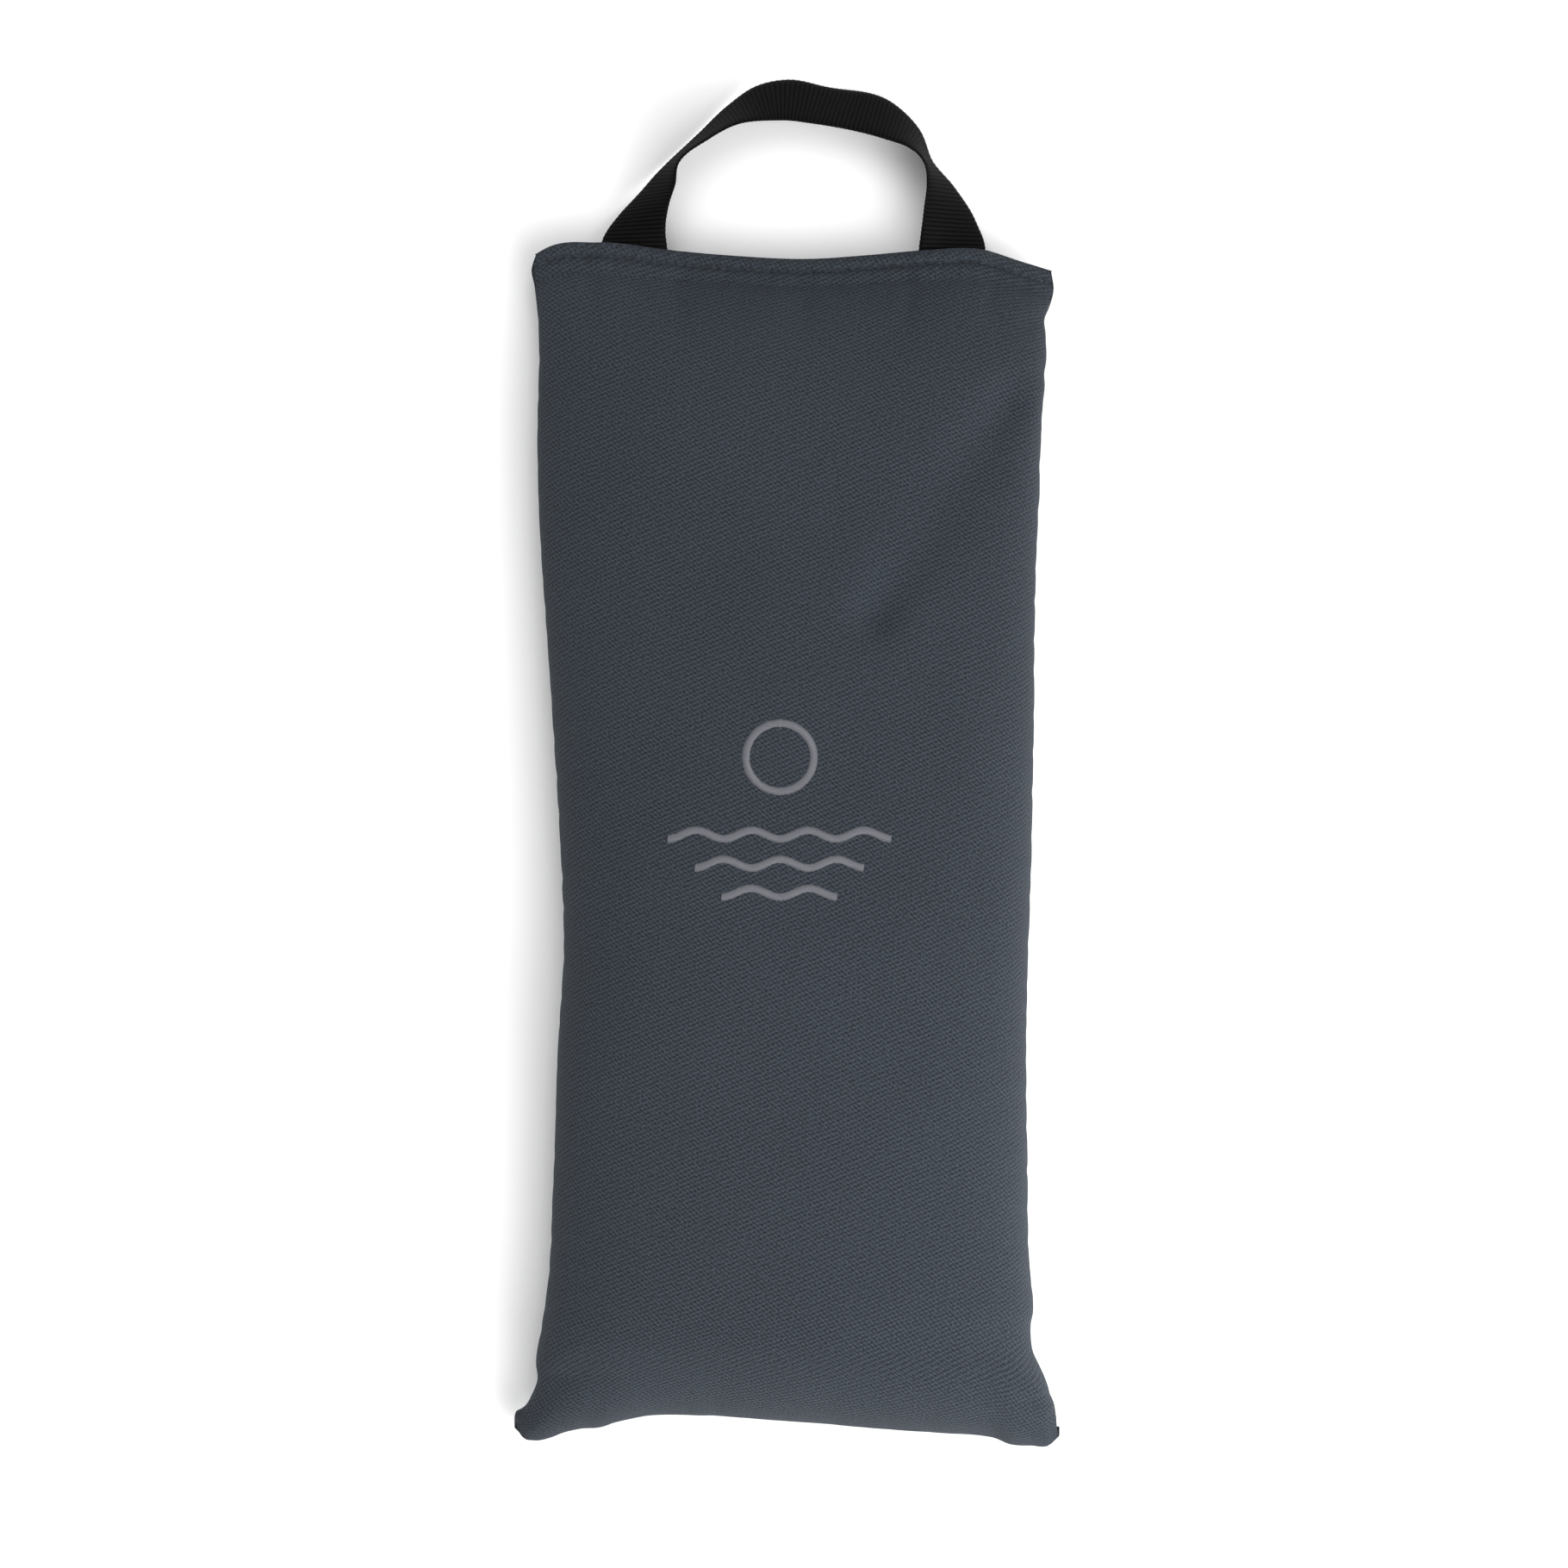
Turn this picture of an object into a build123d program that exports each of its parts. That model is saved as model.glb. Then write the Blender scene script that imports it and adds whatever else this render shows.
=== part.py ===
from build123d import *
from math import cos, pi, radians, sin
import os

# A pillow-shaped sandbag with a webbing handle, lying on its back panel.
# Millimetres. X runs across the bag, +Y towards the handle, +Z up.
# The origin is the middle of the footprint, on the surface that the bag lies on.

os.makedirs("parts", exist_ok=True)

# Cover: overall size of the filled bag
bag_length = 441.0  # bottom edge to top edge
bag_height = 49.0  # floor to crown where it is fullest, at the waist
lower_height = 46.0
shoulder_height = 36.0  # less sand lies near the handle
top_height = 31.0
corner_width = 201.0  # over the two bottom corners
lower_width = 178.0
waist_width = 171.5
shoulder_width = 185.0
top_width = 192.0
lower_from_bottom = 52.0
waist_from_bottom = 178.0
shoulder_from_bottom = 335.0
bottom_round = 60.0  # length over which the bottom end rises to the full height
top_round = 75.0
section_squareness = 3.4  # 2 is an ellipse, more is boxier
seam_height = 13.0  # side, bottom and top seams above the floor

# Cover: cloth and hem
cover_wall = 1.0
hem_depth = 10.0  # turned-in top edge
topstitch_from_edge = 5.0

# Webbing handle
webbing_width = 25.0
webbing_thickness = 1.5
root_rise = 2.2  # from the fold line to where the loop starts to twist
webbing_tuck = 12.0  # webbing below the hem, inside the cover
handle_reach = 62.5  # top edge of the bag to the far edge of the loop
fold_from_edge = 6.0  # top edge of the bag to the line that the handle swings about
fold_relief = 3.0  # length of the bevel that lets the webbing fold back over its sewn end

# Liner and sand
liner_wall = 0.6
liner_gap = 0.6  # cover to liner
liner_widest = 184.0  # the liner is cut narrower than the cover's corners
liner_from_bottom = 2.0  # cover's bottom edge to the liner's
liner_from_hem = 26.0  # hem to the liner's filled end
sand_gap = 0.2

# Thread and embroidery
seam_thread = 0.4
liner_thread = 0.25
stitch_length = 2.6
stitch_pitch = 3.2
stitch_width = 0.55
stitch_height = 0.3
motif_width = 84.0
motif_height = 66.0
motif_line = 3.0
motif_rise = 0.45
motif_centre = (-2.5, -17.0)
ring_radius_share = 0.21  # the ring's outer radius over the motif's height
wave_rise = 3.2
wave_row_gap = 10.5
wave_row_shares = (0.52, 0.76, 1.0)  # each row's width over the motif's, from the lowest row up
first_row_waves = 2
points_per_wave = 8
backing_thickness = 0.3
backing_margin = 6.0

# Clearances
pocket_clearance = 0.1
swing_clearance = 0.3
lay_clearance = 0.02  # between sheets that lie on each other
least_edge = 0.35
floor_overcut = 2.0  # how far the round section runs below the floor before it is cut flat
closing_row_depth = 2.0  # the liner's filled end to where its closing stitches take over
arch_steps = 10

overall_length = bag_length + handle_reach
y_bottom = -overall_length / 2
y_top = y_bottom + bag_length
y_hem = y_top - hem_depth
y_fold = y_top + fold_from_edge
cover_edge = cover_wall + webbing_thickness / 2 + pocket_clearance
liner_inset = cover_wall + liner_gap
sand_inset = liner_inset + liner_wall + sand_gap

# Webbing centre line from the left root to the right one. Each station is x, reach beyond
# the top edge, height above the floor, tilt and turn. The tilt is 0 where the webbing lies
# flat and 90 where it stands on its outer edge. The turn is the way it runs, seen from above.
handle_stations = [
    (-58.6, fold_from_edge, seam_height, 0, 90),
    (-58.3, fold_from_edge + root_rise, seam_height, 5, 90),
    (-55.6, 13.8, 13.2, 31, 92),
    (-49.1, 24.0, 13.0, 64, 83),
    (-43.9, 31.4, 13.2, 79, 55),
    (-33.1, 41.0, 13.0, 75, 39),
    (-22.1, 48.2, 12.6, 65, 26),
    (-10.6, 52.6, 11.8, 50, 14),
    (-2.3, 53.2, 11.6, 46, -3),
    (9.2, 51.4, 11.6, 48, -16),
    (35.5, 45.6, 12.0, 51, -16),
    (44.4, 40.4, 12.8, 65, -26),
    (49.6, 32.9, 13.2, 79, -58),
    (54.3, 24.2, 13.0, 65, -83),
    (57.1, 14.6, 13.1, 38, -88),
    (58.4, fold_from_edge + root_rise, seam_height, 6, -90),
    (58.6, fold_from_edge, seam_height, 0, -90),
]
root_places = (handle_stations[0][0], handle_stations[-1][0])

# Cross-sections of the pillow: round each end, by angle, and evenly along the full middle,
# at the same places in every nested layer, so that the layers stay an even distance apart.
end_angles = (0, 12, 26, 42, 62, 90)
middle_sections = 9
middle_margin = 8.0
y_middle_low = y_bottom + liner_from_bottom + bottom_round + middle_margin
y_middle_high = y_hem - liner_from_hem - top_round - middle_margin


def along_bag(from_bottom, bottom, lower, waist, shoulder, top):
    """A size at a distance from the bottom edge, blended between its five named values."""
    places = (0.0, lower_from_bottom, waist_from_bottom, shoulder_from_bottom, bag_length)
    values = (bottom, lower, waist, shoulder, top)
    for i in range(4):
        if from_bottom <= places[i + 1] or i == 3:
            t = (from_bottom - places[i]) / (places[i + 1] - places[i])
            t = min(1.0, max(0.0, t))
            return values[i] + (values[i + 1] - values[i]) * t * t * (3 - 2 * t)


def half_width(y):
    """Half of the bag's width at y."""
    widths = (corner_width, lower_width, waist_width, shoulder_width, top_width)
    return along_bag(y - y_bottom, *widths) / 2


def crown_height(y):
    """The bag's height on its centre line at y, before its ends are rounded."""
    heights = (lower_height, lower_height, bag_height, shoulder_height, top_height)
    return along_bag(y - y_bottom, *heights)


def arch(width, base, rise, y):
    """Half of a rounded-rectangle section, from +X to -X; a negative rise hangs below the base."""
    power = 2 / section_squareness
    points = []
    for i in range(arch_steps + 1):
        angle = pi * i / arch_steps
        side = 1 if cos(angle) >= 0 else -1
        x = width * side * abs(cos(angle)) ** power
        points.append((x, y, base + rise * max(0.0, sin(angle)) ** power))
    return Spline(*points)


def section(y, inset, fullness):
    """One cross-section of the pillow, drawn inset from the cover's outside."""
    edge = max(cover_edge - inset, least_edge)
    in_liner = inset > cover_wall + backing_thickness + lay_clearance
    widest = liner_widest if in_liner else corner_width
    width = min(half_width(y), widest / 2) - inset
    rise = (crown_height(y) - inset - seam_height - edge) * fullness
    drop = (seam_height - inset - edge + floor_overcut) * fullness
    low = seam_height - edge
    high = seam_height + edge
    return Face(Wire([
        Line((width, y, low), (width, y, high)),
        arch(width, high, rise, y),
        Line((-width, y, high), (-width, y, low)),
        arch(width, low, -drop, y),
    ]))


def pillow(inset, from_bottom, from_hem):
    """The filled shape, offset inwards by inset, with its two ends moved in separately."""
    start = y_bottom + from_bottom
    stop = y_hem - from_hem
    sections = []
    for angle in end_angles:
        along = bottom_round * (1 - cos(radians(angle)))
        sections.append(section(start + along, inset, sin(radians(angle))))
    for i in range(middle_sections):
        y = y_middle_low + (y_middle_high - y_middle_low) * i / (middle_sections - 1)
        sections.append(section(y, inset, 1.0))
    for angle in reversed(end_angles):
        along = top_round * (1 - cos(radians(angle)))
        sections.append(section(stop - along, inset, sin(radians(angle))))
    solid = loft(sections, ruled=True)
    return solid.split(Plane.XY.offset(inset), keep=Keep.TOP)


def shell(outer_inset, inner_inset, ends_outer, ends_inner):
    """The layer between two nested pillows."""
    return pillow(outer_inset, *ends_outer) - pillow(inner_inset, *ends_inner)


def slab(thickness, y_low, y_high, x_low=-corner_width, x_high=corner_width):
    """A flat box about the seam line's height, for picking a stretch of seam out of a wall."""
    size = (x_high - x_low, y_high - y_low, thickness)
    centre = ((x_low + x_high) / 2, (y_low + y_high) / 2, seam_height)
    return Pos(*centre) * Box(*size)


# Handle

def handle_loop():
    """The free webbing: a thin strip lofted through the stations, from fold line to fold line."""
    sections = []
    for x, reach, height, tilt, turn in handle_stations:
        heading = Vector(cos(radians(turn)), sin(radians(turn)), 0)
        outward = Vector(-heading.Y, heading.X, 0)
        across = outward * cos(radians(tilt)) - Vector(0, 0, 1) * sin(radians(tilt))
        plane = Plane(origin=(x, y_top + reach, height), x_dir=across, z_dir=heading)
        sections.append((plane * Rectangle(webbing_width, webbing_thickness)).face())
    return loft(sections, ruled=True)


def handle_end(x):
    """The sewn end of the webbing, from inside the cover to just short of the fold line."""
    half = webbing_thickness / 2
    start = y_hem - webbing_tuck
    stop = y_fold - half - swing_clearance
    side = Polyline(
        (start, -half), (stop, -half), (y_fold - fold_relief, half), (start, half), close=True
    )
    strip = extrude(Plane.YZ * make_face(side), webbing_width / 2, both=True)
    return Pos(x, 0, seam_height) * strip


def hem_pocket(x):
    """The gap between the hem's two layers that a webbing end lies in."""
    width = webbing_width + 2 * pocket_clearance
    thick = webbing_thickness + 2 * pocket_clearance
    depth = hem_depth + least_edge
    return Pos(x, y_top - depth / 2, seam_height) * Box(width, depth, thick)


# Cover

def seam_band(outer_inset, thread, y_low, y_high):
    """A thread inside a wall, all round the bag at the seam, between two distances along Y."""
    ends = ((outer_inset, outer_inset), (outer_inset + thread, outer_inset + thread))
    ring = shell(outer_inset, outer_inset + thread, *ends)
    return ring & slab(thread, y_low, y_high)


def seam_threads(wall_inset, thread, y_low, y_high, corner):
    """Left, right and bottom stretches of the thread that joins the two panels of a bag."""
    band = seam_band(wall_inset, thread, y_low, y_high)
    y_corner = y_low + corner
    left = band & slab(bag_height, y_corner, y_high, x_high=0)
    right = band & slab(bag_height, y_corner, y_high, x_low=0)
    bottom = band & slab(bag_height, y_low, y_corner)
    return left, right, bottom


def cover_panels(threads):
    """Front and back panels: the wall and hem of the cover, parted at the seam height."""
    hem_width = 2 * half_width(y_hem)
    hem = Pos(0, y_top - hem_depth / 2, seam_height) * Box(hem_width, hem_depth, 2 * cover_edge)
    cover = pillow(0, 0, 0) + hem - pillow(cover_wall, cover_wall, 0)
    for x in root_places:
        cover -= hem_pocket(x)
    for thread in threads:
        cover -= thread
    seam_plane = Plane.XY.offset(seam_height)
    return cover.split(seam_plane, keep=Keep.TOP), cover.split(seam_plane, keep=Keep.BOTTOM)


def topstitches(side):
    """A row of stitches along the hem, on its front (side 1) or its back (side -1)."""
    stitch = extrude(SlotOverall(stitch_length, stitch_width), stitch_height)
    row_half = half_width(y_hem) - topstitch_from_edge
    count = int(2 * row_half / stitch_pitch)
    start = -(count - 1) * stitch_pitch / 2
    base = seam_height + side * cover_edge
    if side < 0:
        base -= stitch_height
    y = y_top - topstitch_from_edge
    return Compound([Pos(start + i * stitch_pitch, y, base) * stitch for i in range(count)])


# Liner and sand

def liner_ends(inset):
    """How far a layer of the liner, or the sand in it, stands in from the bag's ends."""
    inside = inset - liner_inset
    return liner_from_bottom + inside, liner_from_hem + inside


def liner_panels(threads):
    """Front and back sheets of the liner, parted at the seam height."""
    inner = liner_inset + liner_wall
    liner = shell(liner_inset, inner, liner_ends(liner_inset), liner_ends(inner))
    for thread in threads:
        liner -= thread
    seam_plane = Plane.XY.offset(seam_height)
    return liner.split(seam_plane, keep=Keep.TOP), liner.split(seam_plane, keep=Keep.BOTTOM)


def liner_threads():
    """The thread round the liner's sides and bottom, and the one that closes its filled end."""
    outer = liner_inset + (liner_wall - liner_thread) / 2
    inner = outer + liner_thread
    ring = shell(outer, inner, liner_ends(outer), liner_ends(inner))
    ring = ring & slab(liner_thread, y_bottom, y_hem)
    y_closing = y_hem - liner_from_hem - closing_row_depth
    perimeter = ring & slab(bag_height, y_bottom, y_closing)
    closing = ring & slab(bag_height, y_closing, y_hem)
    return perimeter, closing


# Embroidery

def motif_outline():
    """A plain ring above three waves."""
    ring_outer = motif_height * ring_radius_share
    ring_centre = motif_height / 2 - ring_outer
    ring = Circle(ring_outer) - Circle(ring_outer - motif_line)
    outline = Pos(0, ring_centre) * ring
    lowest = -motif_height / 2 + wave_rise / 2 + motif_line / 2
    for row, share in enumerate(wave_row_shares):
        half_run = (motif_width - motif_line) * share / 2
        waves = first_row_waves + row
        steps = points_per_wave * waves
        points = []
        for i in range(steps + 1):
            along = i / steps
            height = wave_rise / 2 * cos(2 * pi * waves * along)
            points.append((-half_run + 2 * half_run * along, lowest + row * wave_row_gap - height))
        outline += trace(Spline(*points), motif_line)
    return outline


def on_front(outline, inner_inset, outer_inset):
    """A flat outline laid on the curved front panel, between two insets."""
    ends = ((outer_inset, outer_inset), (inner_inset, inner_inset))
    layer = shell(outer_inset, inner_inset, *ends)
    column = extrude(outline, bag_height)
    return layer & (Pos(*motif_centre, 2 * seam_height) * column)


def embroidery_backing():
    """The sheet inside the front panel that holds the stitches."""
    width = motif_width + 2 * backing_margin
    height = motif_height + 2 * backing_margin
    outer = cover_wall + lay_clearance
    return on_front(RectangleRounded(width, height, backing_margin), outer + backing_thickness, outer)


cover_thread_inset = (cover_wall - seam_thread) / 2
side_left, side_right, bottom = seam_threads(
    cover_thread_inset, seam_thread, y_bottom, y_hem - cover_wall, corner=2 * cover_wall
)
front, back = cover_panels((side_left, side_right, bottom))
liner_perimeter, liner_closing = liner_threads()
liner_front, liner_back = liner_panels((liner_perimeter, liner_closing))

nodes = {
    "cover_front_panel": front,
    "cover_back_panel": back,
    "side_seam_thread_left": side_left,
    "side_seam_thread_right": side_right,
    "bottom_seam_thread": bottom,
    "topstitch_needle_thread": topstitches(1),
    "topstitch_bobbin_thread": topstitches(-1),
    "handle_webbing": handle_loop(),
    "handle_end_left": handle_end(root_places[0]),
    "handle_end_right": handle_end(root_places[1]),
    "liner_front_sheet": liner_front,
    "liner_back_sheet": liner_back,
    "liner_seam_thread": liner_perimeter,
    "liner_closing_stitches": liner_closing,
    "sand_fill": pillow(sand_inset, *liner_ends(sand_inset)),
    "embroidery_stitches": on_front(motif_outline(), -lay_clearance, -lay_clearance - motif_rise),
    "embroidery_backing": embroidery_backing(),
}

for name, shape in nodes.items():
    export_step(shape, f"parts/{name}.step")
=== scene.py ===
"""The looks of the sandbag: twill cover, ribbed webbing, stitches, liner and sand, and its stage."""

import math

import bpy
import numpy as np
from bpy.props import FloatProperty, FloatVectorProperty, PointerProperty
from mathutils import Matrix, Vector, noise
from mathutils.bvhtree import BVHTree


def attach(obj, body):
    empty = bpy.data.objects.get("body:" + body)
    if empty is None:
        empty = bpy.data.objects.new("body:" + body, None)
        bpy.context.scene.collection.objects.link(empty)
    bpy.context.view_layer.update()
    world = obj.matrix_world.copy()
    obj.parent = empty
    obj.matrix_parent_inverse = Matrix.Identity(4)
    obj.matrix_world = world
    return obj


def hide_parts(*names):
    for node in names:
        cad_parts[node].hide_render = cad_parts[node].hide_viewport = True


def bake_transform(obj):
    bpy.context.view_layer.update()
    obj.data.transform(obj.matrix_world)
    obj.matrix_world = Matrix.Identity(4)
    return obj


bl_info = {
    "name": "Twill Sandbag",
    "version": (1, 0, 0),
    "blender": (4, 5, 0),
    "location": "View3D > Sidebar > Sandbag",
    "description": "Builds a sand-filled twill bag with a webbing handle around its packed frame",
    "category": "Object",
}

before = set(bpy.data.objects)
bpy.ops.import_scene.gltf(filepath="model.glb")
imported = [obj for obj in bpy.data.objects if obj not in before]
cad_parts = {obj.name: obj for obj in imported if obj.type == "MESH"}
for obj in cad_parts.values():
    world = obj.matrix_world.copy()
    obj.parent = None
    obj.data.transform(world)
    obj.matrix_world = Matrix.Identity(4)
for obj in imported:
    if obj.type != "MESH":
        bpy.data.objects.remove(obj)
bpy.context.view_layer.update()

MM = 0.001
FRONT, BACK = 1, -1


# Sizes and colours that a user would change

def length(name, description, default):
    """A property that holds a length in metres."""
    return FloatProperty(name=name, description=description, default=default, unit="LENGTH")


def colour(name, description, hex_text):
    """A property that holds a linear colour, given as sRGB hex."""
    return FloatVectorProperty(
        name=name, description=description, default=linear(hex_text), subtype="COLOR", size=4
    )


def linear(hex_text):
    """sRGB hex to a linear RGBA colour."""
    parts = [int(hex_text[i:i + 2], 16) / 255 for i in (0, 2, 4)]
    return tuple(p / 12.92 if p <= 0.04045 else ((p + 0.055) / 1.055) ** 2.4 for p in parts) + (1,)


class CoverSettings(bpy.types.PropertyGroup):
    """The twill cover."""

    panel_width: length("Panel width", "One panel, seam to seam, laid flat", 199 * MM)
    panel_length: length("Panel length", "One panel, bottom seam to top edge, laid flat", 449 * MM)
    cloth: length("Cloth thickness", "Thickness of the twill", 0.6 * MM)
    cell: length("Cloth cell", "Spacing of the cloth's points", 1.55 * MM)
    twill_pitch: length("Twill pitch", "Spacing of the diagonal ribs, across them", 1.55 * MM)
    # painted light and shade: the twill's colour is a darker copy of the cloth in the grooves and a lighter
    # copy on the rib tops
    twill_groove_painted_shade: colour("Twill shade", "Grooves between the twill ribs", "181c21")
    twill_rib_painted_light: colour("Twill light", "Tops of the twill ribs", "3b424b")


class WebbingSettings(bpy.types.PropertyGroup):
    """The webbing handle."""

    width: length("Webbing width", "Width of the handle's webbing", 25 * MM)
    thickness: length("Webbing thickness", "Thickness between the ribs' tops", 1.5 * MM)
    rib_pitch: length("Rib pitch", "Spacing of the ribs along the webbing", 1.6 * MM)
    black: colour("Webbing black", "Dyed polypropylene yarn", "191a19")


class StitchSettings(bpy.types.PropertyGroup):
    """Topstitching and embroidery."""

    stitch: length("Stitch length", "Length of one topstitch", 2.7 * MM)
    thread: length("Thread diameter", "Sewing thread", 0.45 * MM)
    motif_width: length("Motif width", "Width of the embroidered waves", 84 * MM)
    motif_height: length("Motif height", "Ring and waves together", 66 * MM)
    motif_line: length("Motif line", "Width of a satin-stitched line", 3 * MM)
    motif_colour: colour("Embroidery thread", "Rayon embroidery thread", "5b5c63")


# Small helpers

def settings(name):
    """One of this add-on's groups of settings."""
    return getattr(bpy.context.scene, name)


def deselect():
    """Nothing selected, so that an operator acts only on what is picked next."""
    for obj in bpy.context.selected_objects:
        obj.select_set(False)


def smoothstep(t):
    t = np.clip(t, 0, 1)
    return t * t * (3 - 2 * t)


def through(points, at):
    """A smooth curve through given (place, value) points, by Catmull-Rom slopes."""
    places = np.array([p for p, _ in points], float)
    values = np.array([v for _, v in points], float)
    at = np.clip(np.asarray(at, float), places[0], places[-1])
    slopes = np.gradient(values, places)
    k = np.clip(np.searchsorted(places, at, side="right") - 1, 0, len(places) - 2)
    span = places[k + 1] - places[k]
    t = (at - places[k]) / span
    start = (1 + 2 * t) * (1 - t) ** 2 * values[k] + t * (1 - t) ** 2 * span * slopes[k]
    stop = t * t * (3 - 2 * t) * values[k + 1] + t * t * (t - 1) * span * slopes[k + 1]
    return start + stop


def mesh_object(name, points, faces, flat=None):
    """A mesh object at the origin; flat gives each point's place on the cloth as its UV."""
    mesh = bpy.data.meshes.new(name)
    mesh.from_pydata([tuple(p) for p in points], [], [tuple(f) for f in faces])
    if flat is not None:
        layer = mesh.uv_layers.new(name="flat")
        corners = np.zeros(len(mesh.loops), int)
        mesh.loops.foreach_get("vertex_index", corners)
        layer.data.foreach_set("uv", np.asarray(flat, float)[corners].ravel())
    mesh.update()
    obj = bpy.data.objects.new(name, mesh)
    bpy.context.scene.collection.objects.link(obj)
    return obj


def grid_faces(columns, rows, offset=0, flip=False):
    """Quads over a grid of points stored row by row."""
    faces = []
    for r in range(rows - 1):
        for c in range(columns - 1):
            a = offset + r * columns + c
            quad = (a, a + 1, a + columns + 1, a + columns)
            faces.append(quad[::-1] if flip else quad)
    return faces


def finish_with(obj, kind, **values):
    """Adds a modifier, sets it and applies it."""
    deselect()
    obj.select_set(True)
    bpy.context.view_layer.objects.active = obj
    modifier = obj.modifiers.new(kind.title(), kind)
    for key, value in values.items():
        setattr(modifier, key, value)
    bpy.ops.object.modifier_apply(modifier=modifier.name)


def smooth(obj, material):
    """Smooth shading and a material."""
    obj.data.polygons.foreach_set("use_smooth", [True] * len(obj.data.polygons))
    obj.data.materials.clear()
    obj.data.materials.append(material)


# Materials

def add(tree, kind, values, links=None):
    """Adds a node, sets its properties or sockets, and links its inputs."""
    made = tree.nodes.new(kind)
    for key, value in values.items():
        if isinstance(key, int) or key in made.inputs:
            made.inputs[key].default_value = value
        else:
            setattr(made, key, value)
    for key, source in (links or {}).items():
        tree.links.new(source, made.inputs[key])
    return made


def new_material(name):
    """An empty material with a Principled shader, and its tree."""
    material = bpy.data.materials.new(name)
    material.use_nodes = True
    return material, material.node_tree, material.node_tree.nodes["Principled BSDF"]


# A colour Mix node's sockets for its two colours and its result.
MIX_FIRST, MIX_SECOND, MIX_RESULT = 6, 7, 2
MATH = "ShaderNodeMath"
PER_METRE = (1000, 1000, 1000)
TWILL_TURN = math.radians(-22)
YARN_PITCH = 1.45
FILAMENT_PITCH = 0.8


def twill_material():
    """Slate cotton twill: woven on the diagonal, so the eye gets slanted ribs made of short yarns, with a
    matt face and a faint bloom of loose fibre.
    The grooves between ribs and yarns are painted darker as painted shade, and their tops lighter as painted
    light."""
    cover = settings("sandbag_cover")
    material, tree, shader = new_material("cotton_twill_woven")
    place = add(tree, "ShaderNodeUVMap", {"uv_map": "flat"}).outputs[0]
    slant = {"Rotation": (0, 0, TWILL_TURN), "Scale": PER_METRE}
    turned = add(tree, "ShaderNodeMapping", slant, {"Vector": place})
    along, across, _ = add(tree, "ShaderNodeSeparateXYZ", {}, {"Vector": turned.outputs[0]}).outputs
    # the ribs wander over patches of about 22 mm
    drift = add(tree, "ShaderNodeTexNoise", {"Scale": 45.0, "Detail": 3.0}, {"Vector": place})
    wander = add(tree, MATH, {"operation": "MULTIPLY", 1: 6.0}, {0: drift.outputs[0]})
    turns = 2 * math.pi / (cover.twill_pitch / MM)
    straight = add(tree, MATH, {"operation": "MULTIPLY", 1: turns}, {0: across})
    phase = add(tree, MATH, {"operation": "ADD"}, {0: straight.outputs[0], 1: wander.outputs[0]})
    wave = add(tree, MATH, {"operation": "SINE"}, {0: phase.outputs[0]})
    rib = add(tree, MATH, {"operation": "MULTIPLY_ADD", 1: 0.5, 2: 0.5}, {0: wave.outputs[0]})
    # each rib is a row of short yarns, stepped from one rib to the next
    turns = 2 * math.pi / YARN_PITCH
    straight = add(tree, MATH, {"operation": "MULTIPLY", 1: turns}, {0: along})
    step = add(tree, MATH, {"operation": "MULTIPLY", 1: 0.5}, {0: phase.outputs[0]})
    phase = add(tree, MATH, {"operation": "ADD"}, {0: straight.outputs[0], 1: step.outputs[0]})
    wave = add(tree, MATH, {"operation": "SINE"}, {0: phase.outputs[0]})
    yarn = add(tree, MATH, {"operation": "MULTIPLY_ADD", 1: 0.5, 2: 0.5}, {0: wave.outputs[0]})
    # loose fibre about 0.9 mm across, coarser than the real one so that it shows
    fine = {"Scale": 1100.0, "Detail": 3.0, "Roughness": 0.8}
    fibre = add(tree, "ShaderNodeTexNoise", fine, {"Vector": place})
    grain = add(tree, MATH, {"operation": "MULTIPLY_ADD", 1: 3.0, 2: -1.5}, {0: fibre.outputs[0]})
    # uneven dye, over patches of about 110 mm
    cloud = add(tree, "ShaderNodeTexNoise", {"Scale": 9.0, "Detail": 4.0}, {"Vector": place})
    dye = add(tree, MATH, {"operation": "MULTIPLY_ADD", 1: 0.3, 2: -0.15}, {0: cloud.outputs[0]})
    ribs = add(tree, MATH, {"operation": "MULTIPLY", 1: 0.52}, {0: rib.outputs[0]})
    yarns = add(tree, MATH, {"operation": "MULTIPLY", 1: 0.48}, {0: yarn.outputs[0]})
    level = ribs.outputs[0]
    for part in (yarns, grain, dye):
        level = add(tree, MATH, {"operation": "ADD"}, {0: level, 1: part.outputs[0]}).outputs[0]
    # the colour runs from painted shade in the grooves of the ribs and yarns to painted light on their tops,
    # with the fibre's and the dye's real tone mixed in
    colours = {MIX_FIRST: cover.twill_groove_painted_shade, MIX_SECOND: cover.twill_rib_painted_light}
    shade = add(tree, "ShaderNodeMix", {"data_type": "RGBA", "clamp_factor": True, **colours}, {0: level})
    bump = add(tree, "ShaderNodeBump", {"Strength": 0.9, "Distance": 0.45 * MM}, {"Height": level})
    tree.links.new(shade.outputs[MIX_RESULT], shader.inputs["Base Color"])
    tree.links.new(bump.outputs[0], shader.inputs["Normal"])
    shader.inputs["Roughness"].default_value = 0.88
    shader.inputs["Specular IOR Level"].default_value = 0.25
    shader.inputs["Sheen Weight"].default_value = 0.12
    shader.inputs["Sheen Roughness"].default_value = 0.45
    shader.inputs["Sheen Tint"].default_value = linear("a9b4c0")
    return material


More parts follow.
